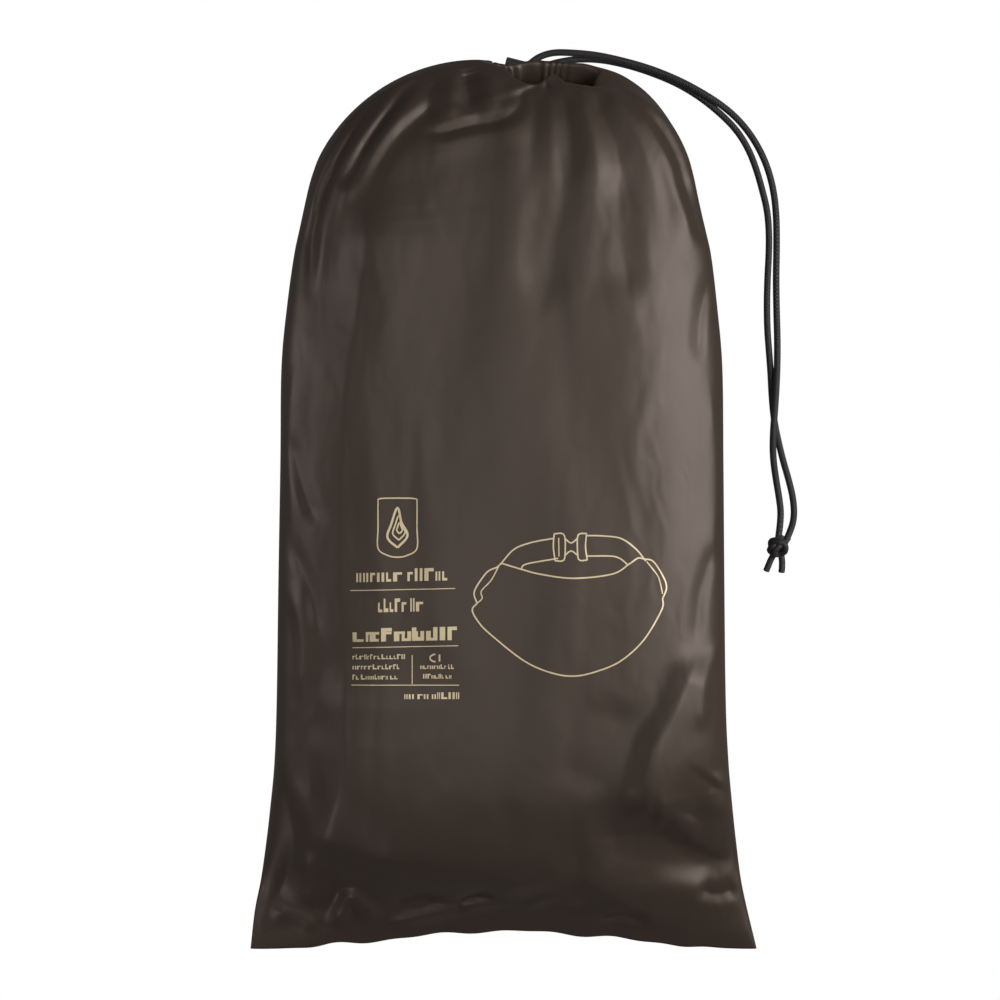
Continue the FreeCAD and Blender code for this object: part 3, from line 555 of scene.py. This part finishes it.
def print_bag():
    """The print: an emblem, lines of blocks, and a line drawing of the muff."""
    emblem(-60.0, -11.3, 22.0, 33.4)
    tilt = 0.022
    words(-83.4, -30.4, -40.4, -33.2, 3.0, 11, tilt)
    bar(-86.8, -45.3, -27.4, -44.8, tilt)
    words(-71.0, -45.0, -57.6, -50.0, 2.2, 12, tilt)
    for seed in (13, 14):  # the largest line is laid twice over, which closes its blocks up
        words(-85.6, -26.4, -74.2, -66.6, 3.6, seed, tilt)
    bar(-85.6, -77.7, -25.7, -77.2, tilt)
    for k, right in enumerate((-54.4, -58.5, -60.0)):
        words(-85.6, right, -85.0 - 5.7 * k, -82.2 - 5.7 * k, 1.25, 20 + k, tilt * 0.5)
    bar(-52.0, -99.8, -51.5, -83.4)
    ribbon([(-38.6, -82.8), (-41.0, -83.6), (-41.8, -85.0), (-41.0, -86.4), (-38.6, -87.2)], 0.9)
    bar(-36.8, -87.0, -35.8, -83.0)
    words(-47.2, -28.2, -91.2, -88.6, 1.15, 30)
    words(-45.6, -29.6, -96.6, -94.0, 1.15, 31)
    bar(-86.2, -100.6, -25.2, -100.1)
    words(-56.2, -24.8, -108.2, -104.4, 1.9, 32)
    # line drawing of the muff with its belt and buckle
    line = 0.85
    ribbon([
        (-15, -54), (-17.8, -57.9), (-14, -65), (-7.1, -72), (11.6, -86.7), (27.4, -93.5), (40.4, -95.2),
        (53.4, -92.4), (66.4, -86.7), (79.4, -74.9), (89.6, -57.9), (90.1, -51.2),
    ], line)
    ribbon([
        (-1.4, -31.4), (9.9, -34.8), (20.6, -37.6), (39.3, -39.9), (61.3, -37.6), (70.9, -32), (76, -28.6),
        (79.4, -29.1),
    ], line)
    ribbon([(-1.4, -31.4), (5.9, -23.5), (16, -19.6), (28.5, -17.3)], line)
    ribbon([(46.6, -15.8), (56, -16), (66.4, -17.5), (74.9, -23.5), (80.5, -30.3)], line)
    ribbon([(9.9, -34.8), (12.7, -31.9), (30.8, -28.6)], line)
    ribbon([(46.6, -27.4), (60.2, -27.4), (65.8, -28.8), (70.3, -32.5)], line)
    ribbon([
        (-1.4, -31.4), (-3.7, -33.6), (-8.8, -35.9), (-13, -41), (-16.1, -46.1), (-16.7, -49.5), (-15, -54),
    ], line)
    ribbon([(-3, -33.4), (-7.1, -41), (-12.7, -47.2), (-12.1, -51.2), (-15, -54)], line * 0.8)
    ribbon([(79.4, -29.1), (84.5, -30.3), (89.6, -37.6), (92.4, -44.9), (90.1, -51.7)], line)
    ribbon([(81, -30.6), (84.6, -35), (87.9, -39.9), (90.1, -48.9)], line * 0.8)
    # buckle
    ribbon([(28.5, -14.8), (28.0, -22), (29.0, -30.0)], line)
    ribbon([(28.5, -14.8), (33.0, -14.6), (34.6, -17.4), (34.6, -27), (33.4, -30.0), (29.0, -30.0)], line)
    ribbon([(46.8, -14.6), (42.8, -14.8), (41.6, -17.4), (41.8, -27), (43, -29.8), (47.2, -29.6)], line)
    ribbon([(46.8, -14.6), (46.2, -22), (47.2, -29.6)], line)
    ribbon([(34.6, -17.4), (38, -20.0), (41.6, -17.4)], line)
    ribbon([(34.6, -27), (38, -24.4), (41.8, -27)], line)
    ribbon([(31, -17), (31.2, -27.6)], line * 0.8)
    ink = mesh_object("foil_print", np.array(INK_VERTS) * MM, INK_FACES)
    ink.data.materials.append(FOIL)
    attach(ink, "bag")


print_bag()


# ---------------------------------------------------------------- cords, in millimetres
LOCK_AT = np.array((12.89, 254.38, 20.74))
CORD_WAY = np.array((0.0626, 0.2511, -0.9659))
BUTTON_WAY = np.array((0.9703, -0.2419, 0))
CORD_OFFSET = 2.2  # sideways from the lock's middle to each cord's
STUB, CORD_EXIT = 10.8, 6.0  # from the lock's middle along the cords: back, and on to where they leave
TABLE, LAP = 2.1, 6.5  # heights of a cord on the table, and of one where it lies over the other
OUTER = [
    (15.1, 260.4, 7.5), (20.8, 265.3, 4.4), (29.0, 267.9, 4.1), (39.5, 267.5, 5.7), (54.0, 266.2, 6.2),
    (69.0, 263.0, 6.1), (86.0, 258.3, 6.0), (103.0, 251.4, 6.0), (118.0, 243.4, 5.6), (131.4, 234.9, 3.0),
    (141.6, 225.2, TABLE), (149.6, 213.6, TABLE), (155.3, 201.4, TABLE), (159.0, 188.0, TABLE),
    (160.8, 173.0, TABLE), (161.0, 154.0, TABLE), (160.6, 135.0, TABLE), (160.9, 116.0, TABLE),
    (161.4, 99.0, TABLE + 0.2), (161.2, 85.5, 3.9), (160.6, 73.0, 5.6), (159.8, 61.0, LAP),
    (158.9, 49.5, LAP), (158.4, 39.0, 5.4), (158.8, 29.0, 3.0), (160.3, 18.0, TABLE), (162.4, 6.0, TABLE),
    (163.8, -6.0, TABLE + 0.4), (161.6, -19.3, TABLE + 1.9),
]
INNER = [
    (20.2, 258.0, 6.6), (26.6, 260.8, 3.4), (35.0, 263.0, 2.5), (44.0, 264.2, TABLE), (56.0, 264.0, TABLE),
    (69.4, 261.6, TABLE), (85.3, 256.9, TABLE), (102.2, 250.0, TABLE), (116.4, 241.4, TABLE),
    (128.2, 231.8, TABLE), (137.6, 222.2, TABLE), (144.4, 211.2, TABLE), (149.0, 199.4, TABLE),
    (152.4, 187.4, TABLE), (155.4, 175.4, TABLE), (156.5, 162.5, TABLE), (156.4, 149.5, TABLE),
    (155.6, 136.0, TABLE), (155.2, 120.5, TABLE), (155.4, 105.5, TABLE), (156.5, 91.5, TABLE),
    (157.5, 78.5, TABLE), (158.1, 65.0, TABLE), (159.4, 51.5, TABLE), (161.8, 39.5, TABLE),
    (164.6, 28.0, TABLE), (168.0, 16.5, TABLE), (170.8, 5.0, TABLE), (171.4, -6.5, TABLE + 0.3),
    (168.4, -15.5, TABLE + 1.1), (165.8, -20.6, TABLE + 2.1),
]


def strand(name, route, side, run_out):
    """One free cord, from inside the channel, through the lock, to the end knot."""
    start = LOCK_AT + BUTTON_WAY * side * CORD_OFFSET
    points = [start - CORD_WAY * STUB, start + CORD_WAY * (CORD_EXIT + run_out), *route]
    data = bpy.data.curves.new(name, "CURVE")
    data.dimensions = "3D"
    data.bevel_depth = 0.002
    data.bevel_resolution = 6
    data.resolution_u = 8
    line = data.splines.new("NURBS")
    line.points.add(len(points) - 1)
    for k, q in enumerate(points):
        line.points[k].co = (*(np.array(q) * MM), 1)
    line.order_u = 3
    line.use_endpoint_u = True
    obj = bpy.data.objects.new(name, data)
    bpy.context.scene.collection.objects.link(obj)
    data.materials.append(BRAID)
    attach(obj, "bag")
    return obj, start + CORD_WAY * CORD_EXIT


KNOT_AT = np.array((161.2, -23.5, 5.7))
KNOT_SIDES, KNOT_STEPS = 14, 70  # points round a turn of the knot, and along it
TURN_RADIUS, TAIL_RADIUS = 1.85, 1.9
# from the middle of the knot: each cord comes in at the top, goes down behind, wraps once round
# and leaves through the turn
KNOT_TURNS = [
    [
        (2.2, 6.6, -2.0), (1.5, 3.4, -0.6), (-2.6, 0.8, 2.4), (-4.6, -1.6, 0.4), (-1.6, -3.6, -2.4),
        (2.6, -2.2, -1.6), (4.4, 0.6, 1.2), (1.6, 2.8, 3.2), (-2.6, 3.0, 1.4), (-3.8, 0.6, -2.0),
    ],
    [
        (6.4, 5.4, -2.2), (4.4, 3.2, -0.4), (0.6, 0.6, 3.0), (-2.4, -2.8, 2.2), (0.2, -4.2, -0.6),
        (4.0, -2.6, 1.2), (4.0, 1.2, 3.0), (0.4, 4.0, 2.6), (-3.4, 3.6, -0.8), (-3.6, 1.2, -3.0),
    ],
]
KNOT_TAILS = [
    [(0.6, 0.4, -2.2), (-1.6, -3.6, -2.4), (-3.6, -7.2, -3.3), (-5.6, -12.0, -3.5), (-6.6, -14.4, -3.5)],
    [(2.4, 0.2, -1.8), (2.4, -4.0, -2.6), (2.9, -8.0, -3.3), (2.9, -12.0, -3.5), (2.6, -15.2, -3.5)],
]


def tube_mesh(path, radius, tapered):
    """Verts and faces of a round tube along the path, with the braid's relief on it."""
    path = np.array(path, float)
    way = np.gradient(path, axis=0)
    way /= np.linalg.norm(way, axis=1)[:, None]
    side = np.cross(way[0], (0.3, 0.2, 1.0))
    verts = []
    for k, (q, w) in enumerate(zip(path, way)):
        side = side - w * (side @ w)
        side /= np.linalg.norm(side)
        up = np.cross(w, side)
        r = radius
        if tapered and k >= len(path) - 3:
            r = radius * (0.97, 0.82, 0.55)[k - len(path) + 3]
        for j in range(KNOT_SIDES):
            a = 2 * math.pi * j / KNOT_SIDES
            relief = 1 + 0.035 * math.sin(5 * a + k * 1.25) * math.sin(5 * a - k * 1.25)
            verts.append(q + (side * math.cos(a) + up * math.sin(a)) * r * relief)
    faces = grid_faces(len(path), KNOT_SIDES, True)
    last = (len(path) - 1) * KNOT_SIDES
    faces += [tuple(range(KNOT_SIDES))[::-1], tuple(last + j for j in range(KNOT_SIDES))]
    return verts, faces


def end_knot():
    """Overhand knot tied in both cords together, with two tails."""
    verts, faces = [], []
    lines = [(path, TURN_RADIUS, False) for path in KNOT_TURNS]
    lines += [(path, TAIL_RADIUS, True) for path in KNOT_TAILS]
    for path, radius, tapered in lines:
        v, f = tube_mesh(spline([KNOT_AT + q for q in path], KNOT_STEPS), radius, tapered)
        first = len(verts)
        verts.extend(v)
        faces.extend(tuple(first + i for i in face) for face in f)
    obj = mesh_object("end_knot_tied", np.array(verts) * MM, faces)
    obj.data.materials.append(KNOT)
    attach(obj, "bag")
    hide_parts("end_knot")
    return obj


knot = end_knot()
outer, outer_exit = strand("cord_outer", OUTER, -1, 1.5)
inner, inner_exit = strand("cord_inner", INNER, 1, 2.0)
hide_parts("cord_strand_outer")
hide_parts("cord_strand_inner")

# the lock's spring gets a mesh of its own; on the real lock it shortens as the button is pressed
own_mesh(frame["nodes"]["lock_spring"])


# ---------------------------------------------------------------- light, surface and camera
def light(name, at, aim, size, power):
    """A soft rectangular light at a place in metres, turned to its aim."""
    data = bpy.data.lights.new(name, "AREA")
    data.shape = "RECTANGLE"
    data.size, data.size_y = size
    data.energy = power
    obj = bpy.data.objects.new(name, data)
    obj.location = at
    obj.rotation_euler = (Vector(aim) - Vector(at)).to_track_quat("-Z", "Y").to_euler()
    bpy.context.scene.collection.objects.link(obj)


light("key", (1.25, 0.2, 0.95), (0.05, 0.02, 0), (0.9, 1.4), 22)
light("over", (-0.05, -0.05, 2.5), (0, 0, 0), (0.9, 1.3), 6.5)
light("fill", (-1.6, 0.2, 0.5), (-0.05, 0, 0), (0.3, 1.3), 5)
light("corner", (-1.2, -1.2, 0.8), (-0.1, -0.2, 0), (0.4, 0.4), 2.5)

world = bpy.data.worlds.new("white")
world.use_nodes = True
world.node_tree.nodes["Background"].inputs["Color"].default_value = (1, 1, 1, 1)
world.node_tree.nodes["Background"].inputs["Strength"].default_value = 0.10
bpy.context.scene.world = world

bpy.ops.mesh.primitive_plane_add(size=60, location=(0, 0, 0))
floor = bpy.context.object
floor.name = "white_table"
white = bpy.data.materials.new("white_table")
white.use_nodes = True
glow = white.node_tree.nodes.new("ShaderNodeEmission")
glow.inputs["Strength"].default_value = 1.0
surface = white.node_tree.nodes["Material Output"].inputs["Surface"]
white.node_tree.links.new(glow.outputs["Emission"], surface)
floor.data.materials.append(white)
floor.visible_diffuse = floor.visible_glossy = False

scene = bpy.context.scene
camera = bpy.data.objects.new("camera", bpy.data.cameras.new("camera"))
scene.collection.objects.link(camera)
camera.data.sensor_width = 36
camera.data.lens = 109.8
camera.location = (-0.0021, 0.0043, 1.8)
scene.camera = camera
scene.view_settings.view_transform = "Standard"
scene.view_settings.look = "None"
